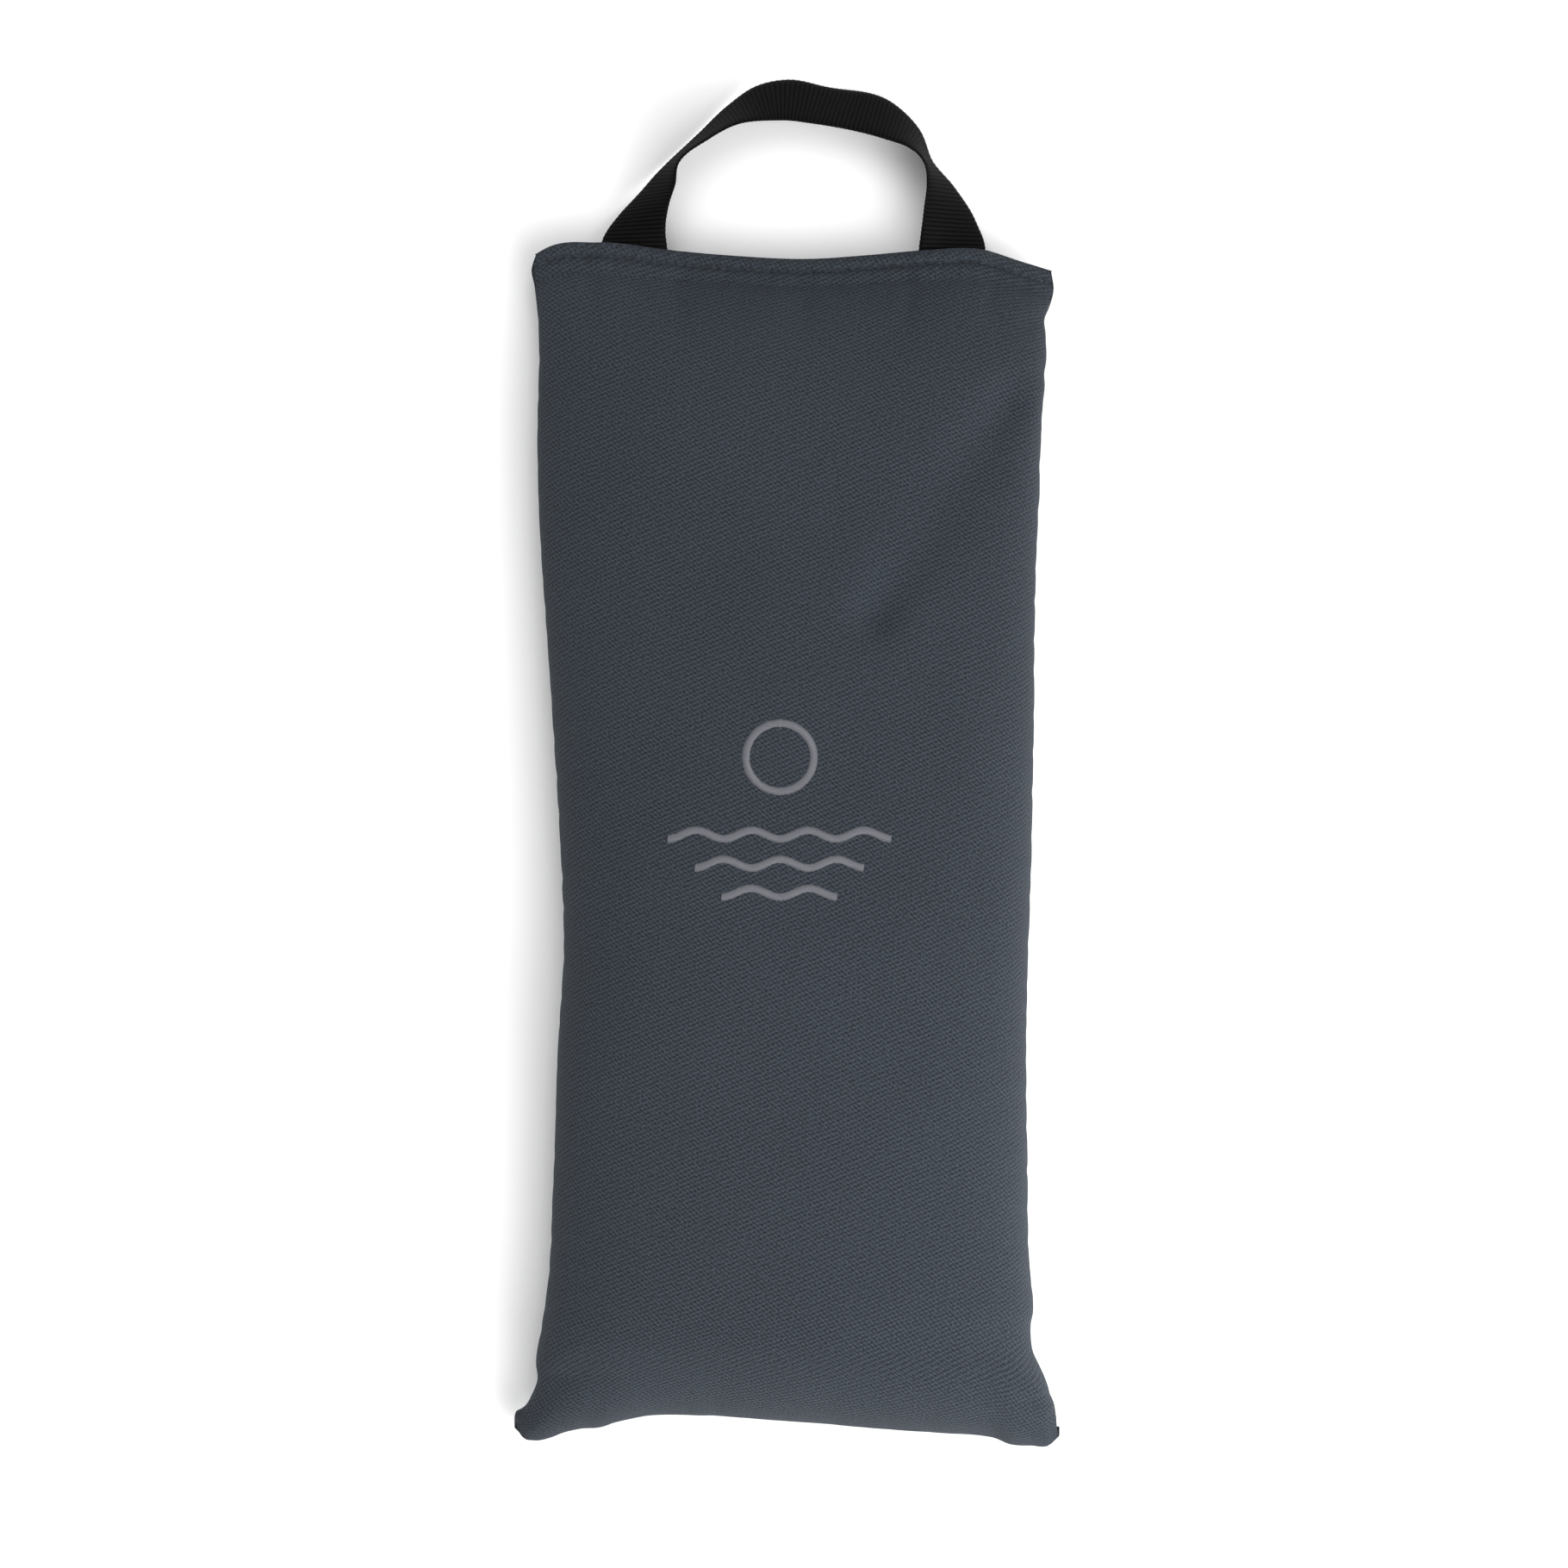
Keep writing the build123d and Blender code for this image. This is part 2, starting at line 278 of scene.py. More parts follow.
def webbing_material():
    """Black polypropylene webbing: flat filament yarns over cords, a low shine on each rib's back and fine
    yarn marks between the grooves.
    The grooves between the ribs are painted near-black as painted shade."""
    webbing = settings("sandbag_webbing")
    material, tree, shader = new_material("polypropylene_webbing_woven")
    place = add(tree, "ShaderNodeUVMap", {"uv_map": "flat"}).outputs[0]
    scaled = add(tree, "ShaderNodeMapping", {"Scale": PER_METRE}, {"Vector": place})
    across, along, _ = add(tree, "ShaderNodeSeparateXYZ", {}, {"Vector": scaled.outputs[0]}).outputs
    pitch = webbing.rib_pitch / MM
    waves = []
    for source, turns in (
        (across, 2 * math.pi / FILAMENT_PITCH), (along, 2 * math.pi / pitch), (along, math.pi / pitch),
    ):
        angle = add(tree, MATH, {"operation": "MULTIPLY", 1: turns}, {0: source})
        wave = add(tree, MATH, {"operation": "SINE"}, {0: angle.outputs[0]})
        waves.append(wave.outputs[0])
    woven = add(tree, MATH, {"operation": "MULTIPLY"}, {0: waves[0], 1: waves[1]})
    height = add(tree, MATH, {"operation": "ABSOLUTE"}, {0: waves[2]})
    tops = add(tree, MATH, {"operation": "POWER", 1: 1.5}, {0: height.outputs[0]})
    # filament ends about half a millimetre across
    fuzz = add(tree, "ShaderNodeTexNoise", {"Scale": 1900.0, "Detail": 2.0}, {"Vector": place})
    marks = add(tree, MATH, {"operation": "MULTIPLY", 1: 0.25}, {0: woven.outputs[0]})
    level = add(tree, MATH, {"operation": "ADD"}, {0: marks.outputs[0], 1: fuzz.outputs[0]})
    level = add(tree, MATH, {"operation": "MULTIPLY"}, {0: level.outputs[0], 1: tops.outputs[0]})
    # painted shade: the colour falls to near-black where the ribs dip into grooves; the yarn marks and the
    # fuzz are real tone
    shade = add(
        tree, "ShaderNodeMix",
        {"data_type": "RGBA", "clamp_factor": True, MIX_FIRST: linear("020202"), MIX_SECOND: webbing.black},
        {0: level.outputs[0]},
    )
    bump = add(tree, "ShaderNodeBump", {"Strength": 0.5, "Distance": 0.2 * MM}, {"Height": level.outputs[0]})
    tree.links.new(shade.outputs[MIX_RESULT], shader.inputs["Base Color"])
    tree.links.new(bump.outputs[0], shader.inputs["Normal"])
    shader.inputs["Roughness"].default_value = 0.75
    shader.inputs["Specular IOR Level"].default_value = 0.05
    return material


def grained_material(name, texture, factor, colours, strength, depth, roughness):
    """A material whose grain, by Object coordinates, runs between two colours and lifts the surface.
    texture is the node's kind and its values; factor and the bump's height are its outputs."""
    material, tree, shader = new_material(name)
    place = add(tree, "ShaderNodeTexCoord", {}).outputs["Object"]
    kind, values = texture
    grain = add(tree, kind, values, {"Vector": place})
    ramp = add(
        tree, "ShaderNodeMix", {"data_type": "RGBA", MIX_FIRST: colours[0], MIX_SECOND: colours[1]},
        {0: grain.outputs[factor]},
    )
    raised = {"Strength": strength, "Distance": depth}
    bump = add(tree, "ShaderNodeBump", raised, {"Height": grain.outputs[0]})
    tree.links.new(ramp.outputs[MIX_RESULT], shader.inputs["Base Color"])
    tree.links.new(bump.outputs[0], shader.inputs["Normal"])
    shader.inputs["Roughness"].default_value = roughness
    return material


def thread_material(name, tint, shine):
    """Spun or filament thread: a twist of about 0.45 mm, matt for cotton and bright for rayon."""
    twist = ("ShaderNodeTexNoise", {"Scale": 2200.0, "Detail": 2.0, "Roughness": 0.6})
    colours = [[min(1, c * share) for c in tint[:3]] + [1] for share in (0.6, 1.35)]
    material = grained_material(name, twist, 0, colours, 0.4, 0.1 * MM, 0.75 - 0.35 * shine)
    material.node_tree.nodes["Principled BSDF"].inputs["Sheen Weight"].default_value = 0.2
    return material


def sheet_material(name, tint, thread_mm):
    """Thin plain-woven or felted cloth that stays inside: a fine square weave, pale and matt."""
    weave = ("ShaderNodeTexNoise", {"Scale": 1000.0 / thread_mm, "Detail": 2.0})
    return grained_material(name, weave, 0, ([c * 0.75 for c in tint[:3]] + [1], tint), 0.4, 0.1 * MM, 0.7)


def sand_material():
    """Dry quartz sand, sieved to about half a millimetre: grains of tan, grey and clear quartz."""
    grains = ("ShaderNodeTexVoronoi", {"Scale": 1600.0})
    colours = (linear("8f7a55"), linear("d9c9a3"))
    return grained_material("quartz_sand_sieved", grains, "Color", colours, 0.8, 0.3 * MM, 0.85)


# Shape of the filled bag. Places are millimetres in the frame: x across, y towards the handle.

# The left and right outlines as (y, x), pulled in at the waist and let out at the soft corners.
LEFT_OUTLINE = [
    (-243, -100.4), (-239, -100.6), (-234, -98.4), (-229, -94.8), (-225, -92.6), (-218, -92.6),
    (-205, -90.2), (-194, -88.6), (-150, -86.2), (-110, -84.4), (-68, -82.2), (-30, -83.6), (0, -85.2),
    (40, -87.8), (80, -90.6), (122, -92.2), (160, -91.8), (176, -93), (183, -94), (190, -91),
]
RIGHT_OUTLINE = [
    (-243, 100.6), (-237, 100), (-229, 98.2), (-222, 95.6), (-215, 92), (-210, 90.2), (-200, 90.8),
    (-185, 89.2), (-150, 88.6), (-110, 88.2),
    (-68, 89.2), (-30, 90.4), (0, 90.8), (60, 91.4), (110, 93.2), (150, 95.2), (168, 95.4),
    (180, 98.4), (190, 97),
]
# The top and bottom edges as (x, y).
TOP_EDGE = [
    (-94, 186.5), (-88, 189.8), (-69, 191.4), (-43, 188.6), (-20, 186.6), (8, 185.4), (30, 186.8),
    (49, 188.4), (74, 188.4), (86, 184.6), (99, 180.8),
]
BOTTOM_EDGE = [
    (-100, -245), (-97.5, -248.4), (-93, -249.7), (-87, -248.6), (-82, -246.6), (-76, -245.3), (-70, -245),
    (-62, -242.6), (-52, -240.6), (-30, -240.4), (0, -242.4), (40, -245.6), (60, -247), (72.8, -248),
    (77, -249), (81.6, -250.9), (90, -251.6), (97, -251.4), (100.6, -248),
]
# The two edges bend the weave only over this share of the length, next to them.
END_BEND = 0.11
TOP_MIDDLE, BOTTOM_MIDDLE = 187.5, -243.5
# Height of the crown above the floor along the bag, from the sand that lies in it.
CROWN = [
    (-250, 45), (-200, 46), (-150, 47.5), (-110, 48.8), (-78, 49), (-30, 46.8), (20, 42.5), (70, 38),
    (120, 34), (150, 32), (190, 30),
]
SEAM_HEIGHT = 13.0
# The panel's two ends lie on the ground here, and the bag rounds off over these lengths.
GROUND_LOW, GROUND_HIGH = -243.0, 187.0
ROUND_LOW, ROUND_HIGH = 52.0, 66.0
HIGH_ROUNDNESS, HIGH_SQUARENESS = 2.2, 0.75
# A section's power, from 2 for an ellipse towards a box.
BOXINESS = 2.8
# Share of a fold's push that acts sideways, so that folds leave the outline as it is.
SIDEWAYS = 0.4
SEAM_GAP = 0.3
ALLOWANCE = 3.5
HEM = 10.5
# Place of the topstitching's groove, from the top edge.
STITCH_ROW = 4.4
# Height of the hem's outer face above the seam plane, by distance from the top edge.
HEM_PROFILE = [
    (0, 1.7), (0.7, 2.8), (1.7, 3.5), (2.7, 3.5), (3.5, 2.7), (4.0, 1.3), (STITCH_ROW, 0.9), (4.8, 1.25),
    (5.6, 2.5), (6.9, 3.3), (8.8, 3.5), (10.5, 3.5),
]
HEM_HEIGHT = 3.5
HEM_SHARPNESS = 14
HEM_RISE_START = 0.75
# The hem is thicker where it holds the webbing, and eases off beside it.
WEBBING_LIFT, WEBBING_FADE = 1.0, 3.5
FOLD_STEPS = 5
CLOTH_TURN = 1.1
# Rows of the hem, counted from the top edge, that its turned-in flap follows.
FLAP_ROWS = (3, 5, 7, 9, 10, 11)
FLAP_GAP = 0.06
# Folds fade out over the hem, and to this share at the bottom edge.
FOLD_FADE, BOTTOM_FOLDS = 14, 0.35
BACK_UNEVENNESS = 0.4
# The back's outline is drawn to the front's over this many points.
MEET_POINTS = 8
FRONT_SEED, BACK_SEED = 11, 23

# Soft folds on the front as (x, y) at the root, (x, y) where it dies out, height and width.
FRONT_FOLDS = [
    (82, 132, 48, 82, -5.0, 12), (32, 54, 62, 100, -4.5, 12), (88, 96, 60, 62, 1.6, 16),
    (96, 163, 74, 159, -1.5, 4), (96, 144, 76, 143, -1.1, 4), (94, 127, 72, 129, -0.9, 5),
    (99, -245, 80, -224, -1.5, 4), (96, -236, 78, -210, 1.4, 5), (90, -217, 68, -206, -2.0, 5),
    (-99, -244, -82, -222, -2.2, 4), (-94, -232, -76, -214, 1.2, 5), (-91, -226, -66, -216, -1.8, 5),
    (-72, -244, -66, -218, -1.3, 5), (76, -247, 66, -220, -1.2, 5), (-26, -240, -28, -222, -0.7, 5),
    (14, -242, 12, -224, -0.6, 5),
    (-42, 184, -37, 150, -1.6, 4), (-72, 186, -73, 156, -1.3, 4), (47, 184, 42, 150, -1.6, 4),
    (76, 184, 74, 154, -1.3, 4), (8, 182, 5, 156, -1.4, 5), (-18, 182, -15, 160, -0.8, 4),
]
BACK_FOLDS = [
    (97, -243, 78, -222, -1.0, 4), (-97, -241, -80, -220, -1.2, 4),
    (-42, 184, -40, 160, -0.8, 4), (47, 184, 44, 160, -0.8, 4), (4, 182, 4, 164, -0.7, 5),
]

# Each panel's points once they are worked out.
cloth = {}


def seam_puckers(seed):
    """Small folds that the seams gather: their roots on the outline, and where each dies out."""
    rng = np.random.default_rng(seed)
    folds = []
    for outline, inward in ((LEFT_OUTLINE, 1), (RIGHT_OUTLINE, -1)):
        y = -232.0
        while y < 172:
            x = float(through(outline, y))
            reach = rng.uniform(9, 27)
            folds.append((x, y, x + inward * reach, y + rng.uniform(-6, 6), -rng.uniform(0.25, 0.85),
                          rng.uniform(2.4, 4.2)))
            y += rng.uniform(8, 17)
    for edge, inward in ((BOTTOM_EDGE, 1), (TOP_EDGE, -1)):
        x = -84.0
        while x < 88:
            y = float(through(edge, x)) - (6 if inward < 0 else 0)
            reach = rng.uniform(7, 20)
            folds.append((x, y, x + rng.uniform(-4, 4), y + inward * reach, -rng.uniform(0.2, 0.6),
                          rng.uniform(2.0, 3.8)))
            x += rng.uniform(8, 15)
    return folds


def fold_height(points, folds):
    """How far the folds lift (or sink) the cloth at each point."""
    lift = np.zeros(points.shape[:2])
    place = points[:, :, :2]
    for x0, y0, x1, y1, height, width in folds:
        root, run = np.array([x0, y0]), np.array([x1 - x0, y1 - y0])
        along = np.clip(((place - root) @ run) / (run @ run), 0, 1)
        away = np.hypot(*np.moveaxis(place - root - along[..., None] * run, -1, 0))
        lift += height * np.exp(-(away / (width * (0.7 + 0.5 * along))) ** 2) * (1 - along) ** 0.8
    return lift


def unevenness(points, seed):
    """Low swells where the sand lies unevenly."""
    lift = np.zeros(points.shape[:2])
    for size, height in ((62.0, 1.3), (27.0, 0.55), (12.0, 0.18)):
        for index in np.ndindex(lift.shape):
            x, y = points[index][:2]
            lift[index] += height * noise.noise(Vector((x / size, y / size, seed)))
    return lift


def cell_size():
    return settings("sandbag_cover").cell * 1


def bag_rows():
    """Places of the rows along a panel, in mm from its bottom edge, closer together in the hem."""
    cover = settings("sandbag_cover")
    total = cover.panel_length / MM
    body = np.linspace(0, total - HEM, int((total - HEM) / (cell_size() / MM)))
    return np.concatenate([body, total - np.array([p for p, _ in HEM_PROFILE[-2::-1]], float)])


def end_fullness(y):
    """How full the bag is at y: it rises over a rounded end from nothing to its full height."""
    low = np.clip((y - GROUND_LOW) / ROUND_LOW, 0, 1)
    high = np.clip((GROUND_HIGH - HEM - y) / ROUND_HIGH, 0, 1)
    return np.sqrt(1 - (1 - low) ** 2) * (1 - (1 - high) ** HIGH_ROUNDNESS) ** HIGH_SQUARENESS


def ground_share(share):
    """Share of the bag's length on the ground at a share of the panel's length."""
    t = np.linspace(0, 1, 801)
    y = GROUND_LOW + (GROUND_HIGH - GROUND_LOW) * t
    rise = (through(CROWN, y) - SEAM_HEIGHT) * end_fullness(y)
    steps = np.concatenate([[0], np.cumsum(np.hypot(np.diff(y), np.diff(rise)))])
    return np.interp(share, steps / steps[-1], t)


def near_webbing(x):
    """1 over the two ends of the webbing in the hem, falling smoothly to 0 beside them."""
    half = settings("sandbag_webbing").width / MM / 2
    over = np.zeros_like(x)
    for middle in (-ROOT + HANDLE_SHIFT, ROOT + HANDLE_SHIFT):
        over = np.maximum(over, 1 - smoothstep((np.abs(x - middle) - half) / WEBBING_FADE))
    return over


def hem_ripples(x, from_top):
    """Small ripples that the topstitching draws into the hem: slanted above it, uneven below it."""
    if 0.3 < from_top < STITCH_ROW - 0.5:
        return 0.4 * np.sin(x * 1.05 + from_top * 0.9)
    if from_top > STITCH_ROW + 0.5:
        return 0.45 * np.sin(x * 0.37) * np.sin(x * 0.83 + 1)
    return 0 * x


def panel_shape(side, columns, seed):
    """Points of the front or back panel's outer face, row by row, and their places on the flat cloth."""
    total = settings("sandbag_cover").panel_length / MM
    rows = bag_rows()
    angle = np.linspace(0, math.pi, 241)
    power = 2 / BOXINESS
    bend_x = -np.sign(np.cos(angle)) * np.abs(np.cos(angle)) ** power
    bend_z = np.sin(angle).clip(0) ** power
    points = np.zeros((len(rows), columns, 3))
    for r, (row, share) in enumerate(zip(rows, ground_share(rows / total))):
        y = GROUND_LOW + (GROUND_HIGH - GROUND_LOW) * share
        left, right = float(through(LEFT_OUTLINE, y)), float(through(RIGHT_OUTLINE, y))
        reach = float(through(CROWN, y)) - SEAM_HEIGHT if side == FRONT else SEAM_HEIGHT - SEAM_GAP
        reach *= float(end_fullness(y))
        section = np.stack([(left + right) / 2 + (right - left) / 2 * bend_x, reach * bend_z], 1)
        steps = np.concatenate([[0], np.cumsum(np.hypot(*np.diff(section, axis=0).T))])
        wanted = np.linspace(0, steps[-1], columns)
        x, z = np.interp(wanted, steps, section[:, 0]), np.interp(wanted, steps, section[:, 1])
        from_top = total - row
        edge = 1 - np.abs(np.linspace(-1, 1, columns)) ** HEM_SHARPNESS
        hem = float(through(HEM_PROFILE, from_top)) if from_top <= HEM else HEM_HEIGHT
        growth = smoothstep((share - HEM_RISE_START) / (1 - HEM_RISE_START))
        rise = SEAM_GAP + (hem - SEAM_GAP) * edge * growth + z
        if from_top <= HEM:
            rise = rise + (WEBBING_LIFT * near_webbing(x) + hem_ripples(x, from_top)) * edge
        points[r, :, 0] = x
        top = TOP_MIDDLE + (through(TOP_EDGE, x) - TOP_MIDDLE) * smoothstep(1 - (1 - share) / END_BEND)
        low = BOTTOM_MIDDLE + (through(BOTTOM_EDGE, x) - BOTTOM_MIDDLE) * smoothstep(1 - share / END_BEND)
        points[r, :, 1] = low * (1 - share) + top * share
        points[r, :, 2] = SEAM_HEIGHT + side * rise
    folds = (FRONT_FOLDS if side == FRONT else BACK_FOLDS) + seam_puckers(seed)
    lift = fold_height(points, folds) + unevenness(points, seed) * (1.0 if side == FRONT else BACK_UNEVENNESS)
    from_top = (total - rows)[:, None]
    from_bottom = rows[:, None]
    lift *= smoothstep((from_top - 5.5) / FOLD_FADE)
    lift *= BOTTOM_FOLDS + (1 - BOTTOM_FOLDS) * smoothstep(from_bottom / 8)
    push = face_normals(points, side) * lift[..., None]
    points += push * np.array([SIDEWAYS, SIDEWAYS, 1])
    points[..., 2] = np.maximum(points[..., 2], SEAM_GAP)
    if side == BACK:
        points = meet(points, bag_cloth(FRONT)[0])
    spans = np.linalg.norm(np.diff(points, axis=1), axis=2)
    u = np.concatenate([np.zeros((len(rows), 1)), np.cumsum(spans, 1)], 1)
    u -= u[:, -1:] / 2
    v = np.repeat(rows[:, None], columns, 1)
    return points, np.stack([u, v], 2)


def meet(points, other):
    """Moves the outline onto the other panel's, so that the two meet at the seams."""
    fade = smoothstep(1 - np.arange(points.shape[1]) / MEET_POINTS)[None, :, None]
    shift = (other - points) * np.array([1, 1, 0])
    points = points + shift[:, :1] * fade + shift[:, -1:] * fade[:, ::-1]
    fade = smoothstep(1 - np.arange(points.shape[0]) / MEET_POINTS)[:, None, None]
    return points + ((other - points) * np.array([1, 1, 0]))[:1] * fade


def face_normals(points, side):
    """Outward normals of a grid of points."""
    across, along = np.gradient(points, axis=1), np.gradient(points, axis=0)
    normal = np.cross(across, along) * side
    return normal / np.linalg.norm(normal, axis=2, keepdims=True).clip(1e-9)


def turned_edges(points, flat, side):
    """Adds the seam allowances that turn in at the sides and bottom, and the hem that folds back in."""
    inner = SEAM_HEIGHT + side * SEAM_GAP

    def inward(edge, towards):
        moved = edge.copy()
        step = towards - edge
        step[..., 2] = 0
        step /= np.linalg.norm(step, axis=-1, keepdims=True).clip(1e-9)
        moved += step * ALLOWANCE
        moved[..., 2] = inner
        return moved

    middle = points[:, points.shape[1] // 2]
    left, right = inward(points[:, 0], middle), inward(points[:, -1], middle)
    grid = np.concatenate([left[:, None], points, right[:, None]], 1)
    wide = np.array([ALLOWANCE, 0])
    cut = np.concatenate([flat[:, :1] - wide, flat, flat[:, -1:] + wide], 1)
    bottom = inward(grid[0], grid[0] + np.array([0, 1, 0]))
    grid = np.concatenate([bottom[None], grid], 0)
    cut = np.concatenate([cut[:1] - np.array([0, ALLOWANCE]), cut], 0)
    # the hem: round the fold, then back down inside, one cloth's turn below the outer face
    rows, places = [], []
    top, top_flat = grid[-1], cut[-1]
    radius = CLOTH_TURN / 2
    for step in range(1, FOLD_STEPS + 1):
        angle = math.pi * step / FOLD_STEPS
        row = top.copy()
        row[:, 1] += radius * math.sin(angle)
        row[:, 2] -= side * radius * (1 - math.cos(angle))
        rows.append(row)
        places.append(top_flat + np.array([0, radius * angle]))
    for back in FLAP_ROWS:
        row = grid[-back].copy()
        row[:, 2] -= side * CLOTH_TURN
        rows.append(row)
        places.append(2 * top_flat - cut[-back])
    for row in rows:
        beyond = side * (row[:, 2] - SEAM_HEIGHT) < FLAP_GAP
        row[beyond, 2] = SEAM_HEIGHT + side * FLAP_GAP
    return np.concatenate([grid, np.array(rows)], 0), np.concatenate([cut, np.array(places)], 0)


def bag_cloth(side):
    """The panel's outer face: its points and flat places, worked out once."""
    if side not in cloth:
        cover = settings("sandbag_cover")
        columns = int(cover.panel_width / cell_size()) | 1
        cloth[side] = panel_shape(side, columns, FRONT_SEED if side == FRONT else BACK_SEED)
    return cloth[side]


def surface_tree(obj):
    """A tree of a finished piece's faces, for casting rays onto it."""
    return BVHTree.FromPolygons([v.co.copy() for v in obj.data.vertices],
                                [tuple(p.vertices) for p in obj.data.polygons])


def on_surface(tree, x, y, side):
    """The cover's outer point and normal above (or below) a place, in mm."""
    start = Vector((x * MM, y * MM, 0.2 if side == FRONT else -0.1))
    hit, normal, _, _ = tree.ray_cast(start, Vector((0, 0, -side)))
    if hit is None:
        raise RuntimeError(f"no cloth at {x}, {y}")
    return np.array(hit) / MM, np.array(normal)


def cover_panel(name, side, material):
    """One panel of the cover as a closed sheet."""
    points, flat = turned_edges(*bag_cloth(side), side)
    faces = grid_faces(points.shape[1], points.shape[0], flip=side == BACK)
    obj = mesh_object(name, points.reshape(-1, 3) * MM, faces, flat.reshape(-1, 2) * MM)
    finish_with(obj, "SOLIDIFY", thickness=settings("sandbag_cover").cloth * 0.8, offset=-1)
    smooth(obj, material)
    return obj


class SANDBAG_OT_cover(bpy.types.Operator):
    """Makes the front and back twill panels, joined at turned-in seams and folded at the hem"""

    bl_idname = "sandbag.cover"
    bl_label = "Twill cover"

    def execute(self, context):
        material = twill_material()
        cover = settings("sandbag_cover")
        for name, side, node in (
            ("twill_front_panel", FRONT, "cover_front_panel"),
            ("twill_back_panel", BACK, "cover_back_panel"),
        ):
            panel = cover_panel(name, side, material)
            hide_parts(node)
            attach(panel, "bag")
        return {"FINISHED"}


# Threads

# Spacing of the cover's lockstitches, and of the liner's, with the liner's stitch.
COVER_PITCH = 3.2
LINER_PITCH, LINER_STITCH = 4.0, 3.0
SEAM_INSET = 1.2
STITCH_LIFT = 0.06
STITCH_SIDES = 6


def bars(name, stitches, width, height, material):
    """Stitches as small rounded bars. Each stitch is its start, its end and the way up, in mm."""
    ring = [(math.cos(a), math.sin(a)) for a in np.linspace(0, 2 * math.pi, STITCH_SIDES, endpoint=False)]
    points, faces = [], []
    for start, stop, up in stitches:
        start, stop, up = np.array(start), np.array(stop), np.array(up)
        run = stop - start
        side = np.cross(up, run)
        side /= np.linalg.norm(side)
        first = len(points)
        points.append(start)
        for share, size in ((0.08, 0.6), (0.5, 1.0), (0.92, 0.6)):
            middle = start + run * share + up * height * 0.5 * math.sin(math.pi * share)
            for a, b in ring:
                points.append(middle + side * a * width / 2 * size + up * b * height / 2 * size)
        points.append(stop)
        last = len(points) - 1
        for k in range(STITCH_SIDES):
            n = (k + 1) % STITCH_SIDES
            faces.append((first, first + 1 + n, first + 1 + k))
            for level in (0, STITCH_SIDES):
                a, b = first + 1 + level + k, first + 1 + level + n
                faces.append((a, b, b + STITCH_SIDES, a + STITCH_SIDES))
            faces.append((last, last - STITCH_SIDES + k, last - STITCH_SIDES + n))
    obj = mesh_object(name, np.array(points) * MM, faces)
    fix_normals(obj)
    smooth(obj, material)
    return obj


def fix_normals(obj):
    """Faces outward."""
    deselect()
    obj.select_set(True)
    bpy.context.view_layer.objects.active = obj
    bpy.ops.object.mode_set(mode="EDIT")
    bpy.ops.mesh.select_all(action="SELECT")
    bpy.ops.mesh.normals_make_consistent(inside=False)
    bpy.ops.object.mode_set(mode="OBJECT")


def along_line(line, pitch, length_mm):
    """Cuts a line of points into stitches: pairs of places where each begins and ends."""
    line = np.asarray(line, float)
    steps = np.concatenate([[0], np.cumsum(np.linalg.norm(np.diff(line, axis=0), axis=1))])
    pairs = []
    at = (steps[-1] % pitch) / 2
    while at + length_mm <= steps[-1]:
        pairs.append([[np.interp(s, steps, line[:, k]) for k in range(line.shape[1])]
                      for s in (at, at + length_mm)])
        at += pitch
    return pairs


class SANDBAG_OT_seam_threads(bpy.types.Operator):
    """Makes the lockstitches that hold the side and bottom seams"""

    bl_idname = "sandbag.seam_threads"
    bl_label = "Seam threads"

    def execute(self, context):
        thread = new_thread("sewing_thread_cotton", "2c3137", 0.1)
        stitching = settings("sandbag_stitching")
        points, _ = bag_cloth(FRONT)
        # the side seams stop just below the hem
        body = points[: points.shape[0] - len(HEM_PROFILE) - 2]
        lines = {
            "side_stitches_left": (body[3:, 0], (SEAM_INSET, 0, 0), "side_seam_thread_left"),
            "side_stitches_right": (body[3:, -1], (-SEAM_INSET, 0, 0), "side_seam_thread_right"),
            "bottom_stitches": (body[0, 2:-2], (0, SEAM_INSET, 0), "bottom_seam_thread"),
        }
        for name, (line, inward, node) in lines.items():
            line = line + np.array(inward)
            line[:, 2] = SEAM_HEIGHT
            pairs = along_line(line, COVER_PITCH, stitching.stitch / MM)
            obj = bars(name, [(a, b, (0, 0, 1)) for a, b in pairs], 0.5, 0.34, thread)
            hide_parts(node)
            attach(obj, "bag")
        return {"FINISHED"}


def new_thread(name, hex_text, shine):
    """A thread material, made once."""
    return bpy.data.materials.get(name) or thread_material(name, linear(hex_text), shine)


class SANDBAG_OT_topstitch(bpy.types.Operator):
    """Makes the row of stitches that closes the top edge, needle thread in front and bobbin behind"""

    bl_idname = "sandbag.topstitch"
    bl_label = "Topstitching"

    def execute(self, context):
        thread = new_thread("sewing_thread_cotton", "2c3137", 0.1)
        stitching = settings("sandbag_stitching")
        row = -1 - [p for p, _ in HEM_PROFILE].index(STITCH_ROW)
        for name, side, panel, node in (
            ("topstitch_front", FRONT, "twill_front_panel", "topstitch_needle_thread"),
            ("topstitch_back", BACK, "twill_back_panel", "topstitch_bobbin_thread"),
        ):
            tree = surface_tree(bpy.data.objects[panel])
            line = bag_cloth(side)[0][row, 2:-2]
            stitches = []
            for a, b in along_line(line, COVER_PITCH, stitching.stitch / MM):
                first, second = (on_surface(tree, p[0], p[1], side)[0] for p in (a, b))
                lift = np.array([0, 0, side * STITCH_LIFT])
                stitches.append((first + lift, second + lift, (0, 0, side)))
            obj = bars(name, stitches, stitching.thread / MM * 1.3, stitching.thread / MM, thread)
            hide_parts(node)
            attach(obj, "bag")
        return {"FINISHED"}


# Handle

# The top edge, the line that the handle swings about, and the webbing's ends inside the hem.
TOP_Y = 189.25
TUCKED_Y = 177.6
ROOT = 58.6
HANDLE_SHIFT = 2.4
# A rib's round back, and the grooves between ribs as a share of the thickness and in from the edges.
RIB_ROUNDNESS = 0.7
GROOVE_SHARE, GROOVE_INSET = 0.62, 0.22
ACROSS_POINTS = 13
EDGE_SHARE = 0.35
